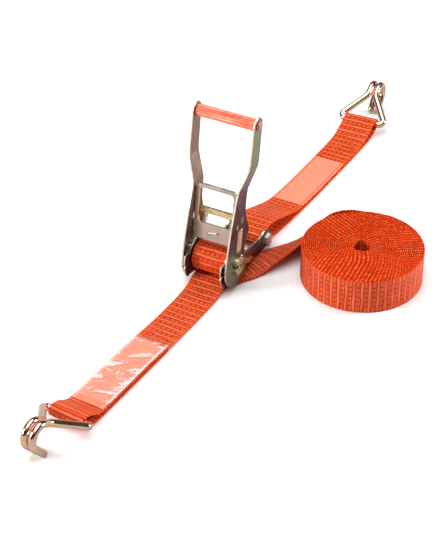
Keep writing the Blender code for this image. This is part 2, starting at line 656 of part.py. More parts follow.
def make_hook(name, place, yaw, assembly, sides=12):
    """A double hook bent from one round rod. Its empty lies on the cross bar, where it swings."""
    turn = empty(f"{name}_turn", place, (0, 0, yaw), assembly)
    swing = empty(f"{name}_swing", (0, 0, 0), (0, -HOOK_PITCH, 0), turn)
    path = hook_path()
    sections = []
    side = Vector((0, 0, 1))
    for i, point in enumerate(path):
        along = (path[min(i + 1, len(path) - 1)] - path[max(i - 1, 0)]).normalized()
        side = (side - along * side.dot(along)).normalized()
        other = along.cross(side)
        ring = []
        for k in range(sides):
            c, s = polar(ROD_RADIUS, 360.0 * k / sides)
            ring.append(point + side * c + other * s)
        sections.append(ring)
    sweep(name, sections, zinc(), swing)


# ---------------------------------------------------------------- assembly

def centre_on_floor(assembly):
    """Move the whole model so that its origin is the middle of the floor under it."""
    bpy.context.view_layer.update()
    corners = [o.matrix_world @ v.co for o in bpy.data.objects if o.type == "MESH" for v in o.data.vertices]
    low = Vector(min(c[i] for c in corners) for i in range(3))
    high = Vector(max(c[i] for c in corners) for i in range(3))
    assembly.location = (-(low.x + high.x) / 2, -(low.y + high.y) / 2, -low.z)
    bpy.context.view_layer.update()


def main():
    for old in list(bpy.data.objects):
        bpy.data.objects.remove(old, do_unlink=True)
    assembly = empty("assembly")
    spindle_line = empty("spindle_line", (0, 0, SPINDLE_HEIGHT), parent=assembly)
    lock_line = empty("lock_line", rotation=(0, 90 - LOCK_ANGLE, 0), parent=spindle_line)
    spindle_axis = empty("spindle_axis", rotation=(0, -SLOT_ANGLE, 0), parent=spindle_line)
    handle_line = empty("handle_line", rotation=(0, 90 - HANDLE_ANGLE, 0), parent=spindle_line)
    make_frame(spindle_line)
    make_bolt(assembly)
    make_bridge(lock_line)
    make_lock_pawl(lock_line)
    make_springs("lock_pawl_spring", lock_line, 0, 57.6, 61.7)
    make_spindle(spindle_axis)
    make_handle_plate("handle_plate_left", 1, handle_line)
    make_handle_plate("handle_plate_right", -1, handle_line)
    make_crossbar(handle_line)
    make_drive_pawl(handle_line)
    make_springs("drive_pawl_spring", handle_line, 0.6, 53.0, 61.6)
    make_grip(handle_line)
    make_straps(assembly)
    make_labels(assembly)
    make_tail(assembly)
    make_coil(assembly)
    make_hook("front_hook", FRONT_HOOK, FRONT_YAW, assembly)
    make_hook("rear_hook", REAR_HOOK, REAR_YAW, assembly)
    centre_on_floor(assembly)


main()
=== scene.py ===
"""Looks for the ratchet tie down: woven webbing, sewn labels, plated steel and springs.

Lengths in this file are millimetres in the buckle's own frame (origin on the floor under the
spindle, +X towards the fixed strap). at() turns them into the row's frame, in metres.
"""

import math

import bmesh
import bpy
import numpy as np
from mathutils import Matrix, Vector, noise


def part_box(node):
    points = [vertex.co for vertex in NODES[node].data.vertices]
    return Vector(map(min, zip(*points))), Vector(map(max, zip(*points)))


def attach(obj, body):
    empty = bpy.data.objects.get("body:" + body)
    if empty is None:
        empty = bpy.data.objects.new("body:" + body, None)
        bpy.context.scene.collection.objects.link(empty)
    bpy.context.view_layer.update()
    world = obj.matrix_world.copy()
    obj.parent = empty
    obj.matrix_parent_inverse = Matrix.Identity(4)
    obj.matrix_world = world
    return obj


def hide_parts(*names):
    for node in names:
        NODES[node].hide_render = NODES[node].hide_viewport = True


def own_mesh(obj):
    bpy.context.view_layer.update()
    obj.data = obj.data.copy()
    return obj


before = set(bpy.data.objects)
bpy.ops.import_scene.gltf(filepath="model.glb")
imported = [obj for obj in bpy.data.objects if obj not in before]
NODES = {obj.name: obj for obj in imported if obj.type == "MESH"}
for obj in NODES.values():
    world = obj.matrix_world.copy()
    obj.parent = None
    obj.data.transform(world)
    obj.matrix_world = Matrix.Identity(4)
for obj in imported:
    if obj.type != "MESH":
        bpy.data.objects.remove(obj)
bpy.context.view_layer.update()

MM = 0.001
SPINDLE_HEIGHT = 34.75
wheel_low, wheel_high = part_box("ratchet_wheel_left")
plate_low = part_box("frame_plate_left")[0]
plate_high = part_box("frame_plate_right")[1]
BASE = Vector(((wheel_low.x + wheel_high.x) / 2, (plate_low.y + plate_high.y) / 2,
               (wheel_low.z + wheel_high.z) / 2 - SPINDLE_HEIGHT * MM))
SPINDLE = Vector((0, 0, SPINDLE_HEIGHT))

# Webbing
WIDTH = 50.0
THICK = 2.4
FLOOR_LAYER = 1.5
ROW_PITCH = 10.5               # distance between two rows of marker threads
RIB_PITCH = 5.25
RIB_HEIGHT = 0.16
STRAP_GAP = 0.3                # clearance between webbing and what it lies round
EDGE_ROUNDING = 0.9            # how far in from the cut edge a strap's face ends

# Lines from the spindle along which the two pawls slide
HANDLE_SLOPE = math.radians(80.4)
LOCK_SLOPE = math.radians(-24.6)
HANDLE = Vector((math.cos(HANDLE_SLOPE), 0, math.sin(HANDLE_SLOPE)))
LOCK = Vector((math.cos(LOCK_SLOPE), 0, math.sin(LOCK_SLOPE)))
PAWL_SPRING_Y = 19.5           # how far the pawl springs are from the middle plane
SPRING_WIRE = 0.5              # radius of their wire

# Bolt that holds the fixed strap
BOLT = (95.0, 0.0, 17.2)
BOLT_SPACER = 7.0              # radius

# Hooks: a bent rod, from the eye at its origin out to the two fingers
ROD = 5.0                      # radius
HOOK_HALF_WIDTH = 33.2
HOOK_LEG = 61.0
HOOK_GAP = 5.7
HOOK_BEND = 16.0
HOOK_TURN = 158.0              # degrees of the finger's bend
HOOK_TIP = 24.0                # straight end after the bend
HOOK_CORNERS = (18.0, 5.0, 6.0)
HOOK_PITCH = 29.2
HOOK_LIFT = 16.53
LOOP_RADIUS = ROD + 0.8 + THICK / 2
FRONT_HOOK = (-350.0, 10.5, HOOK_LIFT)
REAR_HOOK = (452.3, -13.4, HOOK_LIFT)
FRONT_YAW = 176.0
REAR_YAW = 3.5

# Coil of spare webbing
COIL = (100.0, -172.0)
COIL_RADIUS = 82.0
COIL_PITCH = 2.78
COIL_TURNS = 25.6
COIL_STEPS = 60                # points on each turn
TAIL_MEETS_COIL = 20.0
CORE_FROM = 14.0               # the turns inside this one are pressed into an oval
CORE_YAW = math.radians(28)
CORE_SQUASH = 0.10
CORE_STRETCH = 0.07

# Webbing wound on the spindle
WOUND_TURNS = 3.0
WOUND_INNER = 14.4
WOUND_OUTER = 19.8


def at(point):
    return Vector(point) * MM + BASE


# ---------------------------------------------------------------- camera, light and floor

def make_camera():
    data = bpy.data.cameras.new("camera")
    data.lens = 105.4
    data.sensor_width = 36.0
    data.clip_end = 20.0
    camera = bpy.data.objects.new("camera", data)
    bpy.context.scene.collection.objects.link(camera)
    place, target = at((-1555.2, -846.4, 1294.6)), at((10.5, -2.2, 0.0))
    camera.location = place
    camera.rotation_euler = (target - place).to_track_quat("-Z", "Y").to_euler()
    bpy.context.scene.camera = camera


def area_light(name, place, target, size, power):
    data = bpy.data.lights.new(name, "AREA")
    data.shape = "RECTANGLE"
    data.size, data.size_y = size
    data.energy = power
    light = bpy.data.objects.new(name, data)
    bpy.context.scene.collection.objects.link(light)
    light.location = Vector(place)
    light.rotation_euler = (Vector(target) - Vector(place)).to_track_quat("-Z", "Y").to_euler()


def make_stage():
    scene = bpy.context.scene
    scene.view_settings.view_transform = "Standard"
    scene.view_settings.look = "None"
    world = bpy.data.worlds.new("studio")
    world.use_nodes = True
    tree = world.node_tree
    # a dark room with a pale ceiling and a pale ground, so that the bright metal has something to mirror
    place = tree.nodes.new("ShaderNodeSeparateXYZ")
    tree.links.new(tree.nodes.new("ShaderNodeTexCoord").outputs["Generated"], place.inputs[0])
    height = tree.nodes.new("ShaderNodeValToRGB")
    tree.links.new(place.outputs["Z"], height.inputs[0])
    stops = [(0.0, 0.75), (0.10, 0.70), (0.18, 0.05), (0.66, 0.04), (0.82, 0.55), (1.0, 0.8)]
    while len(height.color_ramp.elements) < len(stops):
        height.color_ramp.elements.new(0.5)
    for element, (where, value) in zip(height.color_ramp.elements, stops):
        element.position = where
        element.color = (value, value, value, 1.0)
    tree.links.new(height.outputs[0], tree.nodes["Background"].inputs["Color"])
    scene.world = world
    area_light("overhead", (-0.1, 0.25, 1.9), (0, 0, 0), (2.4, 1.4), 29.0)
    area_light("left", (-1.25, 1.25, 0.62), (0, 0, 0.05), (0.32, 0.6), 24.0)
    area_light("right", (0.95, -1.35, 0.62), (0, 0, 0.05), (0.32, 0.6), 26.0)
    bm = bmesh.new()
    bmesh.ops.create_grid(bm, x_segments=1, y_segments=1, size=6.0)
    mesh = bpy.data.meshes.new("floor")
    bm.to_mesh(mesh)
    bm.free()
    floor = bpy.data.objects.new("floor", mesh)
    scene.collection.objects.link(floor)
    paper = bpy.data.materials.new("floor_paper")
    paper.use_nodes = True
    shader = paper.node_tree.nodes["Principled BSDF"]
    # the metal and the satin threads mirror a darker table than the white one that the camera sees
    seen = paper.node_tree.nodes.new("ShaderNodeMix")
    seen.data_type = "RGBA"
    ray = paper.node_tree.nodes.new("ShaderNodeLightPath")
    paper.node_tree.links.new(ray.outputs["Is Glossy Ray"], seen.inputs[0])
    seen.inputs[6].default_value = (0.98, 0.98, 0.98, 1.0)
    seen.inputs[7].default_value = (0.44, 0.42, 0.42, 1.0)
    paper.node_tree.links.new(seen.outputs[2], shader.inputs["Base Color"])
    shader.inputs["Roughness"].default_value = 0.9
    shader.inputs["Specular IOR Level"].default_value = 0.1
    mesh.materials.append(paper)
    floor.location.z = -0.0004


# ---------------------------------------------------------------- node helper

class Nodes:
    """Short calls for building a material's node tree."""

    def __init__(self, name):
        self.material = bpy.data.materials.new(name)
        self.material.use_nodes = True
        self.tree = self.material.node_tree
        self.shader = self.tree.nodes["Principled BSDF"]

    def node(self, kind, **values):
        made = self.tree.nodes.new(kind)
        for key, value in values.items():
            setattr(made, key, value)
        return made

    def put(self, socket, value):
        if isinstance(value, bpy.types.NodeSocket):
            self.tree.links.new(value, socket)
        elif value is not None:
            socket.default_value = value

    def math(self, operation, a, b=None, c=None):
        made = self.node("ShaderNodeMath", operation=operation)
        for socket, value in zip(made.inputs, (a, b, c)):
            self.put(socket, value)
        return made.outputs[0]

    def ramp(self, value, low, high, to_low=0.0, to_high=1.0):
        made = self.node("ShaderNodeMapRange", interpolation_type="SMOOTHSTEP")
        for socket, item in zip(made.inputs, (value, low, high, to_low, to_high)):
            self.put(socket, item)
        return made.outputs[0]

    def mix(self, factor, a, b, blend="MIX"):
        made = self.node("ShaderNodeMix", data_type="RGBA", blend_type=blend)
        self.put(made.inputs[0], factor)
        self.put(made.inputs[6], a)
        self.put(made.inputs[7], b)
        return made.outputs[2]

    def noise(self, vector, scale, detail=2.0, rough=0.5, distortion=0.0):
        made = self.node("ShaderNodeTexNoise")
        self.put(made.inputs["Vector"], vector)
        made.inputs["Scale"].default_value = scale
        made.inputs["Detail"].default_value = detail
        made.inputs["Roughness"].default_value = rough
        made.inputs["Distortion"].default_value = distortion
        return made.outputs[0]

    def colours(self, factor, stops):
        made = self.node("ShaderNodeValToRGB")
        self.put(made.inputs[0], factor)
        ramp = made.color_ramp
        while len(ramp.elements) < len(stops):
            ramp.elements.new(0.5)
        for element, (place, colour) in zip(ramp.elements, stops):
            element.position = place
            element.color = (*colour, 1.0)
        return made.outputs[0]

    def attribute(self, name):
        return self.node("ShaderNodeAttribute", attribute_name=name).outputs["Vector"]

    def split(self, vector):
        made = self.node("ShaderNodeSeparateXYZ")
        self.put(made.inputs[0], vector)
        return made.outputs

    def join(self, x, y, z=0.0):
        made = self.node("ShaderNodeCombineXYZ")
        for socket, value in zip(made.inputs, (x, y, z)):
            self.put(socket, value)
        return made.outputs[0]

    def coords(self, output="Object"):
        return self.node("ShaderNodeTexCoord").outputs[output]

    def stretched(self, vector, scale):
        made = self.node("ShaderNodeMapping")
        self.put(made.inputs[0], vector)
        made.inputs["Scale"].default_value = scale
        return made.outputs[0]

    def bump(self, height, strength, distance):
        made = self.node("ShaderNodeBump")
        self.put(made.inputs["Height"], height)
        made.inputs["Strength"].default_value = strength
        made.inputs["Distance"].default_value = distance
        self.put(self.shader.inputs["Normal"], made.outputs[0])

    def set(self, **values):
        for key, value in values.items():
            self.put(self.shader.inputs[key.replace("_", " ")], value)


# ---------------------------------------------------------------- webbing

ORANGE = (0.72, 0.062, 0.004)
# the darkest webbing colour is painted shade in grooves and hollows, the palest a painted highlight on
# ridge tops
ORANGE_PAINTED_SHADE = (0.20, 0.010, 0.001)
ORANGE_PAINTED_HIGHLIGHT = (0.92, 0.20, 0.085)
TICK = (0.022, 0.006, 0.006, 1.0)
COLUMN_PITCH = 7.5             # distance between two columns of marker threads
MARKED_HALF = 2.5 * COLUMN_PITCH
THREAD_ACROSS = 0.95
THREAD_ALONG = 1.75
KNOT_PITCH = 5.82              # three knots less on each turn of the coil, so that they line up


def webbing_material(name, ribs=1.0, gloss=0.14, sheen_without_ticks=(0.0, 0.0)):
    """Woven webbing, with rows of dark marker threads on its two faces.

    The attribute 'web' holds, in millimetres, the place across and along, and 1 on a cut edge.
    The last argument is a length along the strap where the marker threads are left out, a painted sheen: on
    the real strap a satin highlight hides them there.
    """
    n = Nodes(name)
    web = n.attribute("web")
    x, y, edge = n.split(web)
    # the weft ridges bulge and wander a little; a plain ridge lies between two bands of marker threads.
    # Each ridge's top is painted paler, a painted highlight, and the grooves beside it darker, painted
    # shade; the same profile bumps the surface.
    wobble = n.noise(n.stretched(web, (0.06, 0.16, 0.0)), 1.0, 1.0)
    y_ribs = n.math("ADD", y, n.math("MULTIPLY", n.math("SUBTRACT", wobble, 0.5), 3.0))
    phase = n.math("FRACT", n.math("MULTIPLY_ADD", y_ribs, 1 / ROW_PITCH, 0.5))
    from_ridge = n.math("ABSOLUTE", n.math("SUBTRACT", phase, 0.5))
    groove = n.ramp(n.math("ABSOLUTE", n.math("SUBTRACT", from_ridge, 0.215)), 0.0, 0.075, 1.0, 0.0)
    ridge = n.ramp(from_ridge, 0.0, 0.21, 1.0, 0.0)
    rib = n.math("MULTIPLY_ADD", groove, -0.62, 0.72)
    rib = n.math("MULTIPLY_ADD", ridge, 0.28, rib)
    patch = n.noise(n.stretched(web, (0.03, 0.30, 0.0)), 1.0, 3.0, 0.6)
    shade = n.math("MULTIPLY_ADD", n.math("SUBTRACT", rib, 0.66), 0.85 * ribs, 0.52)
    shade = n.math("MULTIPLY_ADD", n.math("SUBTRACT", patch, 0.5), 1.0, shade)
    colour = n.colours(shade, [(0.0, ORANGE_PAINTED_SHADE), (0.26, (0.50, 0.030, 0.003)), (0.46, ORANGE),
                               (0.66, (0.82, 0.092, 0.014)), (0.95, ORANGE_PAINTED_HIGHLIGHT)])
    thread_x = n.math("SINE", n.math("MULTIPLY", x, 2 * math.pi / THREAD_ACROSS))
    thread_y = n.math("SINE", n.math("MULTIPLY", y, 2 * math.pi / THREAD_ALONG))
    thread = n.math("MULTIPLY", thread_x, thread_y)
    # where the weave's bump sinks, the colour is painted darker: painted shade in the hollows between
    # threads
    colour = n.mix(n.ramp(thread, -1.0, 1.0, 0.22, 0.0), colour, (*ORANGE_PAINTED_SHADE, 1.0))
    from_column = n.math("ABSOLUTE", n.math("SUBTRACT", n.math("FRACT", n.math(
        "DIVIDE", n.math("ADD", x, MARKED_HALF), COLUMN_PITCH)), 0.5))
    from_row = n.math("ABSOLUTE", n.math("SUBTRACT", n.math("FRACT", n.math(
        "DIVIDE", y, ROW_PITCH)), 0.5))
    tick = n.math("MULTIPLY", n.ramp(from_column, 0.055, 0.105, 1.0, 0.0),
                  n.ramp(from_row, 0.15, 0.22, 1.0, 0.0))
    tick = n.math("MULTIPLY", tick, n.math("LESS_THAN", n.math("ABSOLUTE", x), MARKED_HALF))
    flat = n.math("LESS_THAN", edge, 0.5)
    # along that length the ticks are left out, a painted sheen
    if sheen_without_ticks[1]:
        outside = n.math("ADD", n.math("LESS_THAN", y, sheen_without_ticks[0]),
                         n.math("GREATER_THAN", y, sheen_without_ticks[1]))
        flat = n.math("MULTIPLY", flat, outside)
    tick = n.math("MULTIPLY", n.math("MULTIPLY", tick, flat), n.ramp(patch, 0.15, 0.42, 0.80, 1.0))
    colour = n.mix(tick, colour, TICK)
    # a cut edge shows the thread ends as pale knots in dark gaps
    speck = n.noise(n.stretched(web, (0.42, 0.36, 0.0)), 1.0, 2.0, 0.6)
    knit = n.math("SINE", n.math("MULTIPLY", y, 2 * math.pi / KNOT_PITCH))
    edge_shade = n.math("MULTIPLY_ADD", n.math("SUBTRACT", speck, 0.5), 0.75, 0.5)
    edge_shade = n.math("MULTIPLY_ADD", knit, 0.17, edge_shade)
    edge_colour = n.colours(edge_shade, [(0.22, (0.22, 0.008, 0.001)), (0.40, (0.62, 0.036, 0.002)),
                                         (0.62, (0.84, 0.066, 0.005)), (0.80, (1.0, 0.30, 0.13))])
    colour = n.mix(edge, colour, edge_colour)
    height = n.math("MULTIPLY_ADD", thread, 0.16, rib)
    height = n.math("MULTIPLY_ADD", tick, -0.35, height)
    height = n.math("MULTIPLY_ADD", n.math("MULTIPLY", edge, speck), 1.2, height)
    n.bump(height, 0.75, 0.0006)
    n.put(n.shader.inputs["Tangent"], n.attribute("across"))
    n.set(Base_Color=colour, Roughness=n.math("MULTIPLY_ADD", edge, 0.5, 0.40), Anisotropic=0.7,
          Specular_IOR_Level=gloss)
    return n.material


def curve_through(points, steps, closed=False):
    """A smooth curve (Catmull-Rom) through rows of values."""
    pts = np.array(points, dtype=float)
    if closed:
        pts = np.vstack([pts[-1], pts, pts[:2]])
    else:
        pts = np.vstack([2 * pts[0] - pts[1], pts, 2 * pts[-1] - pts[-2]])
    out = []
    for i in range(1, len(pts) - 2):
        a, b, c, d = pts[i - 1:i + 3]
        for k in range(steps):
            t = k / steps
            out.append(0.5 * (2 * b + (c - a) * t + (2 * a - 5 * b + 4 * c - d) * t * t
                              + (3 * b - a - 3 * c + d) * t ** 3))
    if not closed:
        out.append(pts[-2])
    return np.array(out)


def resample(rows, step, closed=False):
    """Rows of values, the first three a place, spaced again at an even step along their line."""
    rows = np.array(rows, float)
    if closed:
        rows = np.vstack([rows, rows[:1]])
    gaps = np.linalg.norm(np.diff(rows[:, :3], axis=0), axis=1)
    along = np.concatenate([[0.0], np.cumsum(gaps)])
    count = max(2, int(round(along[-1] / step)))
    places = np.linspace(0.0, along[-1], count + 1)
    out = np.stack([np.interp(places, along, rows[:, k]) for k in range(rows.shape[1])], axis=1)
    return (out[:-1], along[-1]) if closed else (out, along[-1])


def unit(v):
    return v / np.maximum(np.linalg.norm(v, axis=-1, keepdims=True), 1e-9)


def section(columns, width):
    """Closed outline across a strap: (across, up, edge) with up from -1 to 1 at the two faces."""
    half = width / 2
    inner = np.linspace(-half + EDGE_ROUNDING, half - EDGE_ROUNDING, columns)
    top = [(x, 1.0, 0.0) for x in inner]
    shoulder = half - EDGE_ROUNDING * 0.25
    right = [(shoulder, 0.72, 1.0), (half, 0.0, 1.0), (shoulder, -0.72, 1.0)]
    bottom = [(x, -1.0, 0.0) for x in inner[::-1]]
    left = [(-a, -b, c) for a, b, c in right]
    return np.array(top + right + bottom + left)


def strap_mesh(name, middle, across, normal, mat, columns=14, thick=THICK, width=WIDTH, closed=False,
               rib_height=RIB_HEIGHT, roughen=0.0, edge_mat=None):
    """Skin a strap along its middle line, and return the object and its length.

    middle, across and normal are arrays in millimetres. roughen is how far the coil's turns stand
    up and down, and edge_mat is a second material for the cut edges.
    """
    outline = section(columns, width)
    steps = np.linalg.norm(np.diff(middle, axis=0), axis=1)
    along = np.concatenate([[0.0], np.cumsum(steps)])
    up = outline[:, 1] * thick / 2
    rib = rib_height * (0.5 + 0.5 * np.cos(2 * np.pi * along / RIB_PITCH))[:, None]
    face = (np.abs(outline[:, 1]) == 1.0)[None, :]
    lift = np.where(face, up[None, :] + np.sign(up)[None, :] * (rib - rib_height), up[None, :])
    wide = np.repeat(outline[None, :, 0], len(middle), axis=0)
    if roughen:
        for i in range(len(middle)):
            shift = roughen * noise.noise(Vector((along[i] * 0.045, 3.1, 0.0)))
            shift += 0.5 * roughen * noise.noise(Vector((along[i] * 0.33, 9.7, 0.0)))
            wide[i] += shift
    points = (middle[:, None, :] + across[:, None, :] * wide[..., None]
              + normal[:, None, :] * lift[..., None])
    rings, ring = points.shape[:2]
    verts = points.reshape(-1, 3) * MM + np.array(BASE)
    faces = []
    spans = rings if closed else rings - 1
    for i in range(spans):
        a, b = i * ring, ((i + 1) % rings) * ring
        for k in range(ring):
            j = (k + 1) % ring
            faces.append((a + k, b + k, b + j, a + j))
    if not closed:
        faces.append(tuple(range(ring)))
        faces.append(tuple(range((rings - 1) * ring, rings * ring))[::-1])
    mesh = bpy.data.meshes.new(name)
    mesh.from_pydata([tuple(v) for v in verts], [], faces)
    values = np.zeros((rings, ring, 3), np.float32)
    values[..., 0] = outline[None, :, 0]
    values[..., 1] = along[:, None]
    values[..., 2] = outline[None, :, 2]
    web = mesh.attributes.new("web", "FLOAT_VECTOR", "POINT")
    web.data.foreach_set("vector", values.ravel())
    cross = np.repeat(across[:, None, :], ring, axis=1).astype(np.float32)
    mesh.attributes.new("across", "FLOAT_VECTOR", "POINT").data.foreach_set("vector", cross.ravel())
    bm = bmesh.new()
    bm.from_mesh(mesh)
    bmesh.ops.recalc_face_normals(bm, faces=bm.faces)
    bm.to_mesh(mesh)
    bm.free()
    mesh.shade_smooth()
    mesh.materials.append(mat)
    if edge_mat:
        mesh.materials.append(edge_mat)
        on_edge = values[..., 2].ravel() > 0.5
        for polygon in mesh.polygons:
            polygon.material_index = int(any(on_edge[v] for v in polygon.vertices))
    made = bpy.data.objects.new(name, mesh)
    bpy.context.scene.collection.objects.link(made)
    return made, along[-1]


def flat_strap(rows, closed=False):
    """Middle line, cross line and normal of a strap from rows of (x, y, z, yaw)."""
    middle = rows[:, :3]
    if closed:
        ahead = np.roll(middle, -1, axis=0) - np.roll(middle, 1, axis=0)
    else:
        ahead = np.gradient(middle, axis=0)
    ahead = unit(ahead)
    yaw = np.radians(rows[:, 3])
    across = np.stack([-np.sin(yaw), np.cos(yaw), np.zeros_like(yaw)], axis=1)
    normal = -unit(np.cross(ahead, across))
    return middle, across, normal


def loop_rows(centre, radius, yaw, start, end, count=8):
    """Rows of (x, y, z, yaw) on an arc about a level axis; the angles are degrees above level."""
    out = []
    a = math.radians(yaw)
    for i in range(count + 1):
        t = math.radians(start + (end - start) * i / count)
        u, w = radius * math.cos(t), radius * math.sin(t)
        out.append((centre[0] + u * math.cos(a), centre[1] + u * math.sin(a), centre[2] + w, yaw))
    return out


# Middle lines of the straps, as (x, y, z, yaw)
STRAP_YAW = FRONT_YAW - 180.0
FRONT_TOP = [(8.0, 0.0, 12.3, 0.0), (-6.0, -0.2, 11.5, 0.0), (-18.0, -0.5, 8.3, 0.0),
             (-30.0, -0.9, 4.9, -0.3), (-44.0, -1.2, 2.6, -0.6), (-62.0, -1.3, 1.7, -1.0),
             (-90.0, -0.8, 1.6, -1.5), (-120.0, 0.0, 2.2, -2.0), (-150.0, 1.0, 4.0, -2.5),
             (-175.0, 2.1, 6.0, -2.7), (-200.0, 3.4, 6.6, -2.9), (-260.0, 6.3, 6.6, -3.2),
             (-308.0, 8.6, 7.2, -3.6), (-324.0, 9.3, 11.6, STRAP_YAW), (-338.0, 9.9, 20.6, STRAP_YAW)]
FRONT_UNDER = [(-340.0, 9.9, 5.6, STRAP_YAW), (-326.0, 9.4, 2.2, STRAP_YAW),
               (-308.0, 8.6, FLOOR_LAYER, -3.6), (-260.0, 6.3, FLOOR_LAYER, -3.2),
               (-200.0, 3.4, FLOOR_LAYER, -2.9), (-166.0, 1.7, FLOOR_LAYER, -2.6)]
FIXED_TOP = [(112.0, -0.4, 27.2, -0.5), (134.0, -1.8, 25.6, -1.0), (162.0, -4.2, 17.4, -1.5),
             (188.0, -5.9, 9.6, -1.5), (210.0, -7.0, 6.4, -1.5), (260.0, -9.4, 5.2, -1.5),
             (340.0, -11.8, 5.2, -0.5), (392.0, -12.9, 5.8, 1.5), (414.0, -13.2, 9.4, 2.5),
             (432.0, -13.4, 17.0, REAR_YAW), (442.0, -13.6, 22.4, REAR_YAW)]
FIXED_UNDER = [(442.0, -13.8, 6.4, REAR_YAW), (426.0, -13.4, 2.9, REAR_YAW),
               (408.0, -13.0, FLOOR_LAYER, 2.0), (340.0, -11.8, FLOOR_LAYER, -0.5),
               (260.0, -9.4, FLOOR_LAYER, -1.5), (188.0, -5.9, FLOOR_LAYER, -1.5),
               (140.0, -2.2, 1.7, -1.0), (114.0, -0.4, 4.4, -0.5)]


def make_front_strap():
    loop = loop_rows(FRONT_HOOK, LOOP_RADIUS, STRAP_YAW, 90, 270)
    rows, _ = resample(curve_through(FRONT_TOP + loop + FRONT_UNDER, 12), 1.0)
    middle, across, normal = flat_strap(rows)
    return strap_mesh("front_webbing", middle, across, normal, WEB_FRONT, columns=20)


def make_fixed_strap():
    bolt_loop = loop_rows(BOLT, BOLT_SPACER + STRAP_GAP + THICK / 2, 0.0, 270, 90)
    rear_loop = loop_rows(REAR_HOOK, LOOP_RADIUS, REAR_YAW, 90, -90)
    line = curve_through(bolt_loop + FIXED_TOP + rear_loop + FIXED_UNDER, 12, closed=True)
    rows, _ = resample(line, 1.0, closed=True)
    middle, across, normal = flat_strap(rows, closed=True)
    return strap_mesh("fixed_webbing", middle, across, normal, WEB, columns=20, closed=True)


# Spare end on the floor, as (x, y, roll): it lies flat under the buckle and stands up at the coil
TAIL_ROUTE = [(-3.0, -2.6, 0), (14.0, -12.5, 0), (32.0, -23.5, 0), (47.0, -32.6, 3), (62.7, -41.6, 12),
              (82.5, -53.4, 21), (107.0, -67.5, 34), (131.5, -77.2, 50), (151.0, -92.0, 70),
              (164.0, -107.5, 84), (173.0, -125.0, 90)]


def make_tail_and_coil():
    """One strip of webbing from under the buckle into the coil, where it ends in an oval core."""
    meet = COIL_RADIUS + STRAP_GAP + THICK / 2
    route = list(TAIL_ROUTE)
    c, s = math.cos(CORE_YAW), math.sin(CORE_YAW)
    for i in range(int(COIL_TURNS * COIL_STEPS) + 1):
        turned = i / COIL_STEPS
        a = math.radians(TAIL_MEETS_COIL - 360.0 * turned) - CORE_YAW
        r = meet - COIL_PITCH * turned
        flatten = max(0.0, (turned - CORE_FROM) / (COIL_TURNS - CORE_FROM)) ** 1.5
        u = r * (1.0 + CORE_STRETCH * flatten) * math.cos(a)
        v = r * (1.0 - CORE_SQUASH * flatten) * math.sin(a)
        route.append((COIL[0] + u * c - v * s, COIL[1] + u * s + v * c, 90))
    line = curve_through(route, 4)
    rows, _ = resample(np.column_stack([line[:, 0], line[:, 1], np.zeros(len(line)), line[:, 2]]), 2.1)
    roll = np.radians(rows[:, 3])
    ahead = unit(np.gradient(rows[:, :3], axis=0))
    right = np.stack([ahead[:, 1], -ahead[:, 0], np.zeros(len(ahead))], axis=1)
    up = np.array([0.0, 0.0, 1.0])[None, :]
    across = right * np.cos(roll)[:, None] + up * np.sin(roll)[:, None]
    normal = -right * np.sin(roll)[:, None] + up * np.cos(roll)[:, None]
    rise = WIDTH / 2 * np.sin(roll) + THICK / 2 * np.cos(roll) + 0.1
    middle = rows[:, :3] + up * rise[:, None]
    return strap_mesh("spare_webbing", middle, across, normal, WEB_COIL, columns=8, roughen=0.9,
                      rib_height=0.3, edge_mat=WEB_COIL_EDGE)


def make_wound_webbing():
    """The turns round the half shafts, from the outside in."""
    rows = []
    count = int(WOUND_TURNS * 72)
    for i in range(count + 1):
        t = i / count
        a = math.radians(-90 + 360.0 * WOUND_TURNS * (1 - t))
        r = WOUND_OUTER + (WOUND_INNER - WOUND_OUTER) * t
        rows.append((r * math.cos(a), 0.0, SPINDLE_HEIGHT + r * math.sin(a)))
    middle, _ = resample(rows, 1.0)
    across = np.tile(np.array([0.0, 1.0, 0.0]), (len(middle), 1))
    normal = unit(middle - np.array([0.0, 0.0, SPINDLE_HEIGHT]))
    return strap_mesh("wound_turns", middle, across, normal, WEB_ROLL, columns=20, rib_height=0.12)


# ---------------------------------------------------------------- labels

PRINT_PITCH = 4.6              # distance between two printed lines
PRINT_HALF = 18.0
STITCH_PITCH = 4.2
STITCH_FROM_MIDDLE = 21.0


def label_material(name, stitch_colour, base, lines, stitch_width=0.7):
    """Sewn cloth with strokes in place of print; lines is how strong they are."""
    n = Nodes(name)
    web = n.attribute("web")
    x, y, _ = n.split(web)
    cloth = n.noise(n.stretched(web, (0.5, 0.08, 0.0)), 1.0, 3.0)
    colour = n.mix(n.ramp(cloth, 0.3, 0.7), base, tuple(min(1.0, c * 1.25) for c in base[:3]) + (1.0,))
    row = n.math("FRACT", n.math("DIVIDE", y, PRINT_PITCH))
    row = n.math("ABSOLUTE", n.math("SUBTRACT", row, 0.5))
    words = n.noise(n.stretched(web, (0.22, 0.22, 0.0)), 1.0, 1.0)
    gaps = n.noise(n.stretched(web, (0.9, 0.05, 0.0)), 1.0, 1.0)
    ink = n.math("MULTIPLY", n.ramp(row, 0.10, 0.16, 1.0, 0.0), n.ramp(words, 0.48, 0.56))
    ink = n.math("MULTIPLY", ink, n.ramp(gaps, 0.40, 0.48))
    ink = n.math("MULTIPLY", ink, n.math("LESS_THAN", n.math("ABSOLUTE", x), PRINT_HALF))
    colour = n.mix(n.math("MULTIPLY", ink, lines), colour, (0.50, 0.10, 0.07, 1.0))
    from_seam = n.math("ABSOLUTE", n.math("SUBTRACT", n.math("ABSOLUTE", x), STITCH_FROM_MIDDLE))
    dash = n.math("FRACT", n.math("DIVIDE", y, STITCH_PITCH))
    stitch = n.math("MULTIPLY", n.ramp(from_seam, stitch_width * 0.6, stitch_width, 1.0, 0.0),
                    n.ramp(dash, 0.25, 0.35))
    colour = n.mix(stitch, colour, stitch_colour)
    n.bump(n.math("ADD", stitch, n.math("MULTIPLY", cloth, 0.6)), 0.4, 0.0004)
    n.set(Base_Color=colour, Roughness=0.55)
    return n.material


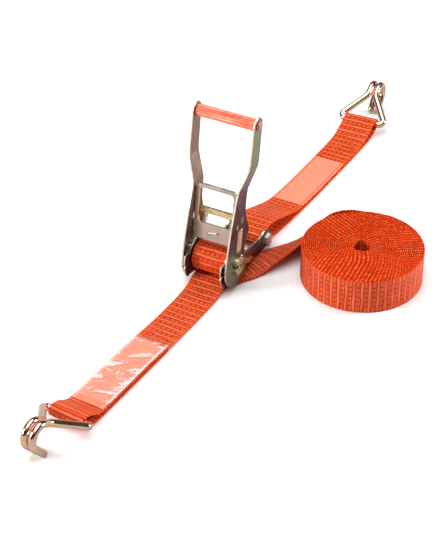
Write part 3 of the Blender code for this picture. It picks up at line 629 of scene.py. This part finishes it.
def film_material():
    n = Nodes("clear_film")
    x, y, _ = n.split(n.attribute("web"))
    slant = n.join(n.math("ADD", n.math("MULTIPLY", x, 0.020), n.math("MULTIPLY", y, 0.012)),
                   n.math("SUBTRACT", n.math("MULTIPLY", y, 0.055), n.math("MULTIPLY", x, 0.030)))
    crease = n.noise(slant, 1.0, 3.0, 0.55, 1.6)
    # along the creases the film is painted pale pink and less clear: a painted glint
    glint = n.ramp(crease, 0.49, 0.62)
    rim = n.ramp(n.math("ABSOLUTE", x), 20.0, 22.5)
    alpha = n.math("MAXIMUM", n.math("MULTIPLY", glint, 0.72), n.math("MULTIPLY", rim, 0.40))
    alpha = n.math("MAXIMUM", alpha, 0.06)
    n.bump(crease, 0.5, 0.004)
    n.set(Base_Color=(1.0, 0.84, 0.80, 1.0), Roughness=0.12, Alpha=alpha, Specular_IOR_Level=0.9,
          Coat_Weight=0.6, Coat_Roughness=0.05)
    return n.material


def laid_on(name, stations, low, high, lift, thick, width, mat, ripple=0.0):
    """A thin sewn piece that follows the strap between two x places, lift above its middle line."""
    line = curve_through(stations, 24)
    line = line[(line[:, 0] >= low) & (line[:, 0] <= high)]
    rows, _ = resample(line, 1.2)
    middle, across, normal = flat_strap(rows)
    if normal[:, 2].mean() < 0:
        normal = -normal
    shape, _ = strap_mesh(name, middle + normal * lift, across, normal, mat, columns=22, thick=thick,
                          width=width, rib_height=0.0)
    if ripple:
        web = np.zeros(len(shape.data.vertices) * 3, np.float32)
        shape.data.attributes["web"].data.foreach_get("vector", web)
        web = web.reshape(-1, 3)
        for v, (x, y, _) in zip(shape.data.vertices, web):
            wave = noise.noise(Vector((x * 0.05 + y * 0.02, y * 0.055 - x * 0.03, 4.0)))
            wave += 0.5 * noise.noise(Vector((x * 0.11, y * 0.12, 8.0)))
            v.co.z += max(-0.2, wave) * ripple * MM
    return shape


def make_labels():
    pale_seam = label_material("label_cloth", (1.0, 0.80, 0.72, 1.0), (0.88, 0.205, 0.105, 1.0), 0.85)
    red_seam = label_material("label_cloth_red_edge", (0.80, 0.05, 0.012, 1.0),
                              (0.92, 0.24, 0.145, 1.0), 0.5, 1.3)
    top = THICK / 2
    front = laid_on("front_label_cloth", FRONT_TOP, -312, -168, top + 0.6, 0.7, 47.5, pale_seam)
    film = laid_on("front_label_sleeve", FRONT_TOP, -302, -164, top + 2.0, 0.35, 49.0,
                   film_material(), ripple=1.3)
    rear = laid_on("rear_label_cloth", FIXED_TOP, 206, 340, top + 0.6, 0.8, 48.5, red_seam)
    for piece, node, name in ((front, "front_label", "label"), (film, "front_label_film", "film"),
                              (rear, "rear_label", "label")):
        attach(piece, "frame")
        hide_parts(node)
    return front, film, rear


# ---------------------------------------------------------------- plated steel

def plated(name, stops, rough=(0.22, 0.42), scale=26.0, edge=None, stretch=(1.0, 1.0, 1.0), tall=0.0,
           thin=1):
    """Zinc plate with an uneven passivation film; a cut sheet edge shows brighter.

    With tall, in metres, the film's colour also changes with height, as on a part dipped end first.
    thin is the axis of the sheet's thickness.
    """
    n = Nodes(name)
    place = n.stretched(n.coords("Object"), stretch)
    film = n.noise(place, scale, 3.0, 0.55, 0.4)
    cloud = n.noise(place, scale * 4.2, 2.0)
    grain = n.noise(n.stretched(n.coords("Object"), (900, 900, 120)), 1.0, 2.0)
    factor = n.math("ADD", n.math("MULTIPLY", film, 0.8), n.math("MULTIPLY", cloud, 0.2))
    if tall:
        level = n.math("DIVIDE", n.split(n.coords("Object"))[2], tall)
        factor = n.math("MULTIPLY_ADD", n.math("SUBTRACT", factor, 0.5), 0.9, level)
    colour = n.colours(factor, stops)
    if edge:
        side = n.math("ABSOLUTE", n.split(n.coords("Normal"))[thin])
        colour = n.mix(n.ramp(side, 0.25, 0.80, 1.0, 0.0), colour, edge)
    n.bump(n.math("ADD", grain, n.math("MULTIPLY", cloud, 1.5)), 0.05, 0.0006)
    n.set(Base_Color=colour, Roughness=n.ramp(cloud, 0.25, 0.75, rough[0], rough[1]), Metallic=0.9)
    return n.material


def dress(mat, *names):
    for name in names:
        NODES[name].data.materials.clear()
        NODES[name].data.materials.append(mat)


def soften(width, *names, segments=2, angle=32):
    """Break the sharp edges of a CAD node with a small bevel; its own vertices stay as they are."""
    for name in names:
        weld = NODES[name].modifiers.new("weld", "WELD")
        weld.merge_threshold = 1e-6
        bevel = NODES[name].modifiers.new("bevel", "BEVEL")
        bevel.width = width * MM
        bevel.segments = segments
        bevel.limit_method = "ANGLE"
        bevel.angle_limit = math.radians(angle)
        bevel.use_clamp_overlap = True


HANDLE_TALL = 0.25


def dress_metal():
    cream = (0.92, 0.86, 0.66, 1.0)
    olive = [(0.30, (0.36, 0.36, 0.14)), (0.45, (0.60, 0.56, 0.28)), (0.58, (0.74, 0.67, 0.38)),
             (0.72, (0.66, 0.48, 0.38))]
    left = [(0.0, (0.05, 0.042, 0.045)), (0.20, (0.13, 0.10, 0.085)), (0.42, (0.24, 0.175, 0.14)),
            (0.62, (0.33, 0.215, 0.165)), (1.0, (0.35, 0.23, 0.18))]
    right = [(0.02, (0.34, 0.30, 0.19)), (0.16, (0.26, 0.22, 0.18)), (0.27, (0.12, 0.12, 0.145)),
             (0.46, (0.15, 0.155, 0.20)), (0.60, (0.23, 0.23, 0.26)), (0.76, (0.30, 0.34, 0.17)),
             (0.90, (0.36, 0.30, 0.26)), (1.0, (0.33, 0.35, 0.20))]
    dark = [(0.30, (0.05, 0.048, 0.06)), (0.46, (0.10, 0.09, 0.11)), (0.60, (0.18, 0.165, 0.16)),
            (0.75, (0.25, 0.24, 0.14))]
    pink = [(0.28, (0.46, 0.36, 0.27)), (0.46, (0.60, 0.48, 0.40)), (0.60, (0.66, 0.50, 0.45)),
            (0.76, (0.62, 0.58, 0.36))]
    gold = [(0.30, (0.64, 0.46, 0.20)), (0.50, (0.85, 0.68, 0.38)), (0.70, (0.92, 0.82, 0.58))]
    steel = [(0.30, (0.30, 0.29, 0.30)), (0.60, (0.56, 0.54, 0.50)), (0.80, (0.70, 0.62, 0.52))]
    # the left plate's stops run from near black up to brown, so with tall it is darker towards the bottom
    dress(plated("zinc_handle_left", left, edge=cream, stretch=(1, 1, 0.5), tall=HANDLE_TALL),
          "handle_plate_left")
    dress(plated("zinc_handle_right", right, edge=cream, stretch=(1, 1, 0.6), tall=HANDLE_TALL),
          "handle_plate_right")
    dress(plated("zinc_frame", dark, edge=(0.80, 0.66, 0.56, 1.0)), "frame_plate_left", "frame_plate_right")
    dress(plated("zinc_wheel", dark, edge=(0.75, 0.70, 0.58, 1.0), scale=60), "ratchet_wheel_left",
          "ratchet_wheel_right")
    dress(plated("zinc_release", pink, edge=(0.92, 0.88, 0.62, 1.0), rough=(0.28, 0.45), thin=0),
          "drive_pawl")
    dress(plated("zinc_crossbar", gold, rough=(0.18, 0.34), scale=60), "handle_crossbar", "frame_bridge")
    dress(plated("zinc_olive", olive, rough=(0.20, 0.36), scale=50), "spindle_half_upper",
          "spindle_half_lower", "lock_pawl")
    dress(plated("zinc_bolt", pink, rough=(0.16, 0.30), scale=60), "frame_bolt", "frame_bolt_nut",
          "bolt_spacer")
    dress(plated("zinc_pin", steel, rough=(0.18, 0.30), scale=80), "split_pin_left", "split_pin_right",
          "grip_rod")
    soften(0.45, "handle_plate_left", "handle_plate_right", "frame_plate_left", "frame_plate_right")
    soften(0.35, "drive_pawl", "handle_crossbar", "lock_pawl", "frame_bridge")
    soften(0.25, "ratchet_wheel_left", "ratchet_wheel_right", segments=1)
    soften(0.6, "frame_bolt", "frame_bolt_nut")
    soften(0.4, "spindle_half_upper", "spindle_half_lower")


def hook_material():
    n = Nodes("zinc_hook")
    place = n.coords("Object")
    film = n.noise(place, 34.0, 2.0, 0.5, 0.8)
    colour = n.colours(film, [(0.28, (0.94, 0.64, 0.33)), (0.42, (0.97, 0.72, 0.48)),
                              (0.52, (0.96, 0.58, 0.50)), (0.62, (0.94, 0.72, 0.42)),
                              (0.76, (0.80, 0.76, 0.40))])
    cloud = n.noise(place, 160.0, 2.0)
    n.bump(cloud, 0.05, 0.0005)
    n.set(Base_Color=colour, Roughness=n.ramp(cloud, 0.3, 0.7, 0.08, 0.17), Metallic=1.0)
    return n.material


def tube(name, path, radius, mat, sides, start_side):
    """Skin a round rod along a path of points in millimetres, with domed ends."""
    bm = bmesh.new()
    side = start_side
    rings = []
    last = len(path) - 1
    for i, point in enumerate(path):
        along = (path[min(i + 1, last)] - path[max(i - 1, 0)]).normalized()
        side = (side - along * side.dot(along)).normalized()
        other = along.cross(side)
        ring = []
        for k in range(sides):
            a = 2 * math.pi * k / sides
            ring.append(bm.verts.new(at(point + (side * math.cos(a) + other * math.sin(a)) * radius)))
        rings.append(ring)
    for a, b in zip(rings, rings[1:]):
        for k in range(sides):
            j = (k + 1) % sides
            bm.faces.new((a[k], a[j], b[j], b[k]))
    for ring, end, inner in ((rings[0], path[0], path[1]), (rings[-1], path[last], path[-2])):
        outwards = (end - inner).normalized()
        middle = at(end)
        previous = ring
        for scale, reach in ((0.93, 0.16), (0.78, 0.24)):
            cap = [bm.verts.new(middle + (v.co - middle) * scale + outwards * reach * radius * MM)
                   for v in ring]
            for k in range(sides):
                j = (k + 1) % sides
                bm.faces.new((previous[k], previous[j], cap[j], cap[k]))
            previous = cap
        bm.faces.new(previous)
    bmesh.ops.recalc_face_normals(bm, faces=bm.faces)
    mesh = bpy.data.meshes.new(name)
    bm.to_mesh(mesh)
    bm.free()
    mesh.shade_smooth()
    mesh.set_sharp_from_angle(angle=math.radians(50))
    mesh.materials.append(mat)
    made = bpy.data.objects.new(name, mesh)
    bpy.context.scene.collection.objects.link(made)
    return made


def filleted(points, radii, steps=8):
    """The points as a path, with each inner corner rounded to its radius."""
    pts = [Vector(p) for p in points]
    out = [pts[0]]
    for i in range(1, len(pts) - 1):
        back = (pts[i - 1] - pts[i]).normalized()
        ahead = (pts[i + 1] - pts[i]).normalized()
        half = back.angle(ahead) / 2
        reach = radii[i - 1] / math.tan(half)
        centre = pts[i] + (back + ahead).normalized() * radii[i - 1] / math.sin(half)
        first = pts[i] + back * reach - centre
        last = pts[i] + ahead * reach - centre
        turn = first.angle(last)
        for k in range(steps + 1):
            t = k / steps
            spoke = (first * math.sin((1 - t) * turn) + last * math.sin(t * turn)) / math.sin(turn)
            out.append(centre + spoke)
    out.append(pts[-1])
    return out


def hook_path():
    """One half of the bent rod, from a finger's tip to the eye's middle, and its mirror image."""
    bend = []
    steps = 32
    for i in range(1, steps + 1):
        a = math.radians(HOOK_TURN * i / steps)
        bend.append(Vector((HOOK_LEG + HOOK_BEND * math.sin(a), HOOK_GAP, HOOK_BEND * (math.cos(a) - 1))))
    ahead = Vector((math.cos(a), 0, -math.sin(a)))
    bend += [bend[-1] + ahead * HOOK_TIP * t for t in (0.33, 0.67, 1.0)]
    corners = [(HOOK_LEG, HOOK_GAP, 0), (HOOK_LEG - 12, HOOK_GAP, 0), (8, HOOK_HALF_WIDTH, 0),
               (0, HOOK_HALF_WIDTH, 0), (0, 0, 0)]
    leg = filleted(corners, HOOK_CORNERS)
    half = bend[::-1] + leg[:-1]
    return half + [Vector((p.x, -p.y, p.z)) for p in half[::-1]]


def make_hook(name, node, place, yaw, body, mat):
    pitch = Matrix.Rotation(math.radians(-HOOK_PITCH), 3, "Y")
    turn = Matrix.Rotation(math.radians(yaw), 3, "Z") @ pitch
    path = [turn @ p + Vector(place) for p in hook_path()]
    made = tube(name, path, ROD, mat, sides=28, start_side=turn @ Vector((0, 0, 1)))
    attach(made, body)
    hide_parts(node)


def make_spring(name, node, direction, low, high, y, radius, turns, body, mat, offset=0.0):
    """A compression spring in place of the CAD's short sleeve.

    It reaches from low to high along direction from the spindle.
    """
    sideways = Vector((direction.z, 0, -direction.x))
    path = []
    count = int(turns * 14)
    start = low + SPRING_WIRE + 0.2
    length = high - low - 2 * SPRING_WIRE - 0.4
    for i in range(count + 1):
        t = i / count
        a = 2 * math.pi * turns * t
        # the end turns lie close together
        eased = t - math.sin(2 * math.pi * t) / (2 * math.pi * turns)
        path.append(SPINDLE + direction * (start + length * eased)
                    + sideways * (offset + radius * math.cos(a))
                    + Vector((0, 1, 0)) * (y + radius * math.sin(a)))
    made = tube(name, path, SPRING_WIRE, mat, sides=8, start_side=direction)
    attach(made, body)
    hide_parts(node)
    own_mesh(made)


def grip_material():
    n = Nodes("grip_red")
    place = n.coords("Object")
    cloud = n.noise(place, 120.0, 3.0)
    # the pale pink streaks along the grip are painted highlight lines on its ribs; the same noise bumps the
    # surface
    streak = n.noise(n.stretched(place, (620, 14, 620)), 1.0, 2.0)
    colour = n.colours(n.math("MULTIPLY_ADD", cloud, 0.25, n.math("MULTIPLY", streak, 0.75)),
                       [(0.34, (0.55, 0.04, 0.02)), (0.46, (0.84, 0.11, 0.05)), (0.56, (0.92, 0.22, 0.11)),
                        (0.68, (1.0, 0.52, 0.34))])
    n.bump(streak, 0.25, 0.0006)
    n.set(Base_Color=colour, Roughness=0.36, Coat_Weight=0.25, Coat_Roughness=0.3)
    return n.material


# ---------------------------------------------------------------- assembly

WEB = webbing_material("webbing_flat", ribs=1.45)
WEB_FRONT = webbing_material("webbing_front", ribs=1.45, gloss=0.25, sheen_without_ticks=(322.0, 372.0))
WEB_ROLL = webbing_material("webbing_wound", ribs=0.9)
WEB_COIL = webbing_material("webbing_coiled", ribs=1.1, gloss=0.30)
WEB_COIL_EDGE = webbing_material("webbing_coiled_edge", gloss=0.06)

make_camera()
make_stage()

front_webbing, front_length = make_front_strap()
fixed_webbing, fixed_length = make_fixed_strap()
spare_webbing, spare_length = make_tail_and_coil()
wound_webbing, wound_length = make_wound_webbing()
front_label, front_film, rear_label = make_labels()
for piece, nodes, body in ((front_webbing, ["front_strap"], "frame"),
                           (fixed_webbing, ["fixed_strap"], "frame"),
                           (spare_webbing, ["tail_strap", "webbing_coil"], "frame"),
                           (wound_webbing, ["wound_webbing"], "spindle")):
    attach(piece, body)
    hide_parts(*nodes)

dress_metal()
red = grip_material()
dress(red, "grip_sleeve", "grip_ring_left", "grip_ring_right")
soften(0.25, "grip_sleeve", "grip_ring_left", "grip_ring_right", angle=20)
hook_zinc = hook_material()
make_hook("front_hook_rod", "front_hook", FRONT_HOOK, FRONT_YAW, "front_hook", hook_zinc)
make_hook("rear_hook_rod", "rear_hook", REAR_HOOK, REAR_YAW, "rear_hook", hook_zinc)
wire = plated("spring_wire", [(0.3, (0.42, 0.40, 0.36)), (0.7, (0.66, 0.62, 0.52))], rough=(0.2, 0.3))
for side, y in (("left", PAWL_SPRING_Y), ("right", -PAWL_SPRING_Y)):
    make_spring(f"drive_spring_{side}", f"drive_pawl_spring_{side}", HANDLE, 47.6, 61.7, y, 2.9, 5.5,
                "handle", wire, offset=0.6)
    make_spring(f"lock_spring_{side}", f"lock_pawl_spring_{side}", LOCK, 52.1, 61.9, y, 2.7, 4.5,
                "frame", wire)
